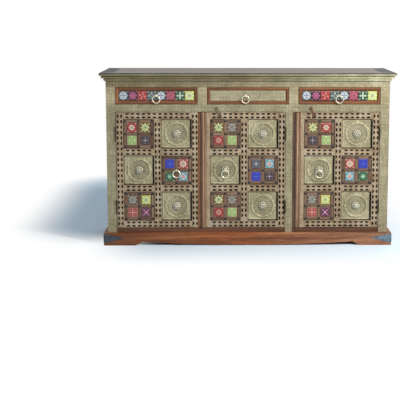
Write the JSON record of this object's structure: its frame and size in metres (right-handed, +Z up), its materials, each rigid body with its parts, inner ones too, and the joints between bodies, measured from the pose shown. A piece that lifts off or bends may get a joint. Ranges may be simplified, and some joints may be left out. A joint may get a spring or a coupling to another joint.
{
  "type": "sideboard",
  "caption": "Long wooden sideboard clad in aged brass, with drawers over hinged doors, ceramic tile and embossed brass panels, ring pulls and a scalloped plinth.",
  "frame": {"origin": "on the floor under the middle of the sideboard", "axes": "+X to the right along the front, the front faces -Y, +Z up"},
  "size_m": [1.54, 0.43, 0.91],
  "materials": {
    "inner_wood": "plain oiled boards",
    "side_wood": "dark stained hardwood, waxed",
    "top_wood": "dark polished hardwood",
    "red_wood": "red-brown polished hardwood",
    "door_wood": "brown hardwood",
    "drawer_wood": "red-brown polished hardwood",
    "plinth_wood": "orange-brown polished hardwood",
    "brass_sheet": "aged, hammered sheet",
    "brass_foil": "moulded wood under aged brass foil",
    "carved_brass": "carved wood under pale brass foil",
    "embossed_brass": "embossed, aged",
    "bright_brass": "polished by hands",
    "iron": "blackened",
    "tiles": "glazed ceramic in many colours"
  },
  "bodies": {
    "carcass": {"side_left": "side_wood", "side_right": "side_wood", "bottom_board": "inner_wood", "back_panel": "inner_wood", "partitions": "inner_wood", "drawer_deck": "inner_wood", "shelves": "inner_wood", "inner_strips": "inner_wood", "front_posts": "side_wood", "front_rails": "inner_wood", "sill_rail": "red_wood", "front_cladding": "brass_sheet", "top_panel": "top_wood", "top_frame": "top_wood", "cornice": "brass_foil", "plinth_front": "plinth_wood", "plinth_returns": "plinth_wood", "corner_straps": "iron", "hinge_leaves": "iron", "latch_staples": "iron"},
    "door_left": {"door_left_frame": "door_wood", "door_left_lattice": "carved_brass", "door_left_tiles": "tiles", "door_left_brass_panels": "embossed_brass", "door_left_ironwork": "iron", "door_left_ring_eye": "bright_brass"},
    "door_left_ring": {"door_left_ring": "bright_brass"},
    "door_middle": {"door_middle_frame": "door_wood", "door_middle_astragal": "red_wood", "door_middle_lattice": "carved_brass", "door_middle_tiles": "tiles", "door_middle_brass_panels": "embossed_brass", "door_middle_ironwork": "iron", "door_middle_ring_eye": "bright_brass"},
    "door_middle_ring": {"door_middle_ring": "bright_brass"},
    "door_middle_hasp": {"door_middle_hasp": "iron"},
    "door_right": {"door_right_frame": "door_wood", "door_right_astragal": "red_wood", "door_right_lattice": "carved_brass", "door_right_tiles": "tiles", "door_right_brass_panels": "embossed_brass", "door_right_ironwork": "iron", "door_right_ring_eye": "bright_brass"},
    "door_right_ring": {"door_right_ring": "bright_brass"},
    "door_right_hasp": {"door_right_hasp": "iron"},
    "drawer_left": {"drawer_left_box": "inner_wood", "drawer_left_front": "drawer_wood", "drawer_left_tiles": "tiles", "drawer_left_ring_eye": "bright_brass"},
    "drawer_left_ring": {"drawer_left_ring": "bright_brass"},
    "drawer_middle": {"drawer_middle_box": "inner_wood", "drawer_middle_front": "drawer_wood", "drawer_middle_brass_panel": "embossed_brass", "drawer_middle_ring_eye": "bright_brass"},
    "drawer_middle_ring": {"drawer_middle_ring": "bright_brass"},
    "drawer_right": {"drawer_right_box": "inner_wood", "drawer_right_front": "drawer_wood", "drawer_right_tiles": "tiles", "drawer_right_ring_eye": "bright_brass"},
    "drawer_right_ring": {"drawer_right_ring": "bright_brass"}
  },
  "joints": [
    {"name": "door_left_hinge", "type": "hinge", "parent": "carcass", "child": "door_left", "pos_m": [-0.68875, -0.1873, 0.3985], "axis": [0, 0, -1], "range_deg": [0, 105]},
    {"name": "door_left_ring_swing", "type": "hinge", "parent": "door_left", "child": "door_left_ring", "pos_m": [-0.37413, -0.1893, 0.3985], "axis": [-1, 0, 0], "range_deg": [0, 100]},
    {"name": "door_middle_hinge", "type": "hinge", "parent": "carcass", "child": "door_middle", "pos_m": [0.19592, -0.1873, 0.3985], "axis": [0, 0, 1], "range_deg": [0, 105]},
    {"name": "door_middle_ring_swing", "type": "hinge", "parent": "door_middle", "child": "door_middle_ring", "pos_m": [-0.11871, -0.1973, 0.3985], "axis": [-1, 0, 0], "range_deg": [0, 100]},
    {"name": "door_middle_hasp_swing", "type": "hinge", "parent": "door_middle", "child": "door_middle_hasp", "pos_m": [-0.14617, -0.188, 0.6855], "axis": [0.9063, 0, 0.4226], "range_deg": [0, 175]},
    {"name": "door_right_hinge", "type": "hinge", "parent": "carcass", "child": "door_right", "pos_m": [0.68875, -0.1873, 0.3985], "axis": [0, 0, 1], "range_deg": [0, 105]},
    {"name": "door_right_ring_swing", "type": "hinge", "parent": "door_right", "child": "door_right_ring", "pos_m": [0.37412, -0.1973, 0.3985], "axis": [-1, 0, 0], "range_deg": [0, 100]},
    {"name": "door_right_hasp_swing", "type": "hinge", "parent": "door_right", "child": "door_right_hasp", "pos_m": [0.34667, -0.188, 0.6855], "axis": [0.9063, 0, 0.4226], "range_deg": [0, 175]},
    {"name": "drawer_left_slide", "type": "slide", "parent": "carcass", "child": "drawer_left", "axis": [0, -1, 0], "range_m": [0, 0.26]},
    {"name": "drawer_left_ring_swing", "type": "hinge", "parent": "drawer_left", "child": "drawer_left_ring", "pos_m": [-0.476, -0.1923, 0.791], "axis": [-1, 0, 0], "range_deg": [0, 100]},
    {"name": "drawer_middle_slide", "type": "slide", "parent": "carcass", "child": "drawer_middle", "axis": [0, -1, 0], "range_m": [0, 0.26]},
    {"name": "drawer_middle_ring_swing", "type": "hinge", "parent": "drawer_middle", "child": "drawer_middle_ring", "pos_m": [-0.013, -0.1913, 0.791], "axis": [-1, 0, 0], "range_deg": [0, 100]},
    {"name": "drawer_right_slide", "type": "slide", "parent": "carcass", "child": "drawer_right", "axis": [0, -1, 0], "range_m": [0, 0.26]},
    {"name": "drawer_right_ring_swing", "type": "hinge", "parent": "drawer_right", "child": "drawer_right_ring", "pos_m": [0.476, -0.1923, 0.791], "axis": [-1, 0, 0], "range_deg": [0, 100]}
  ]
}
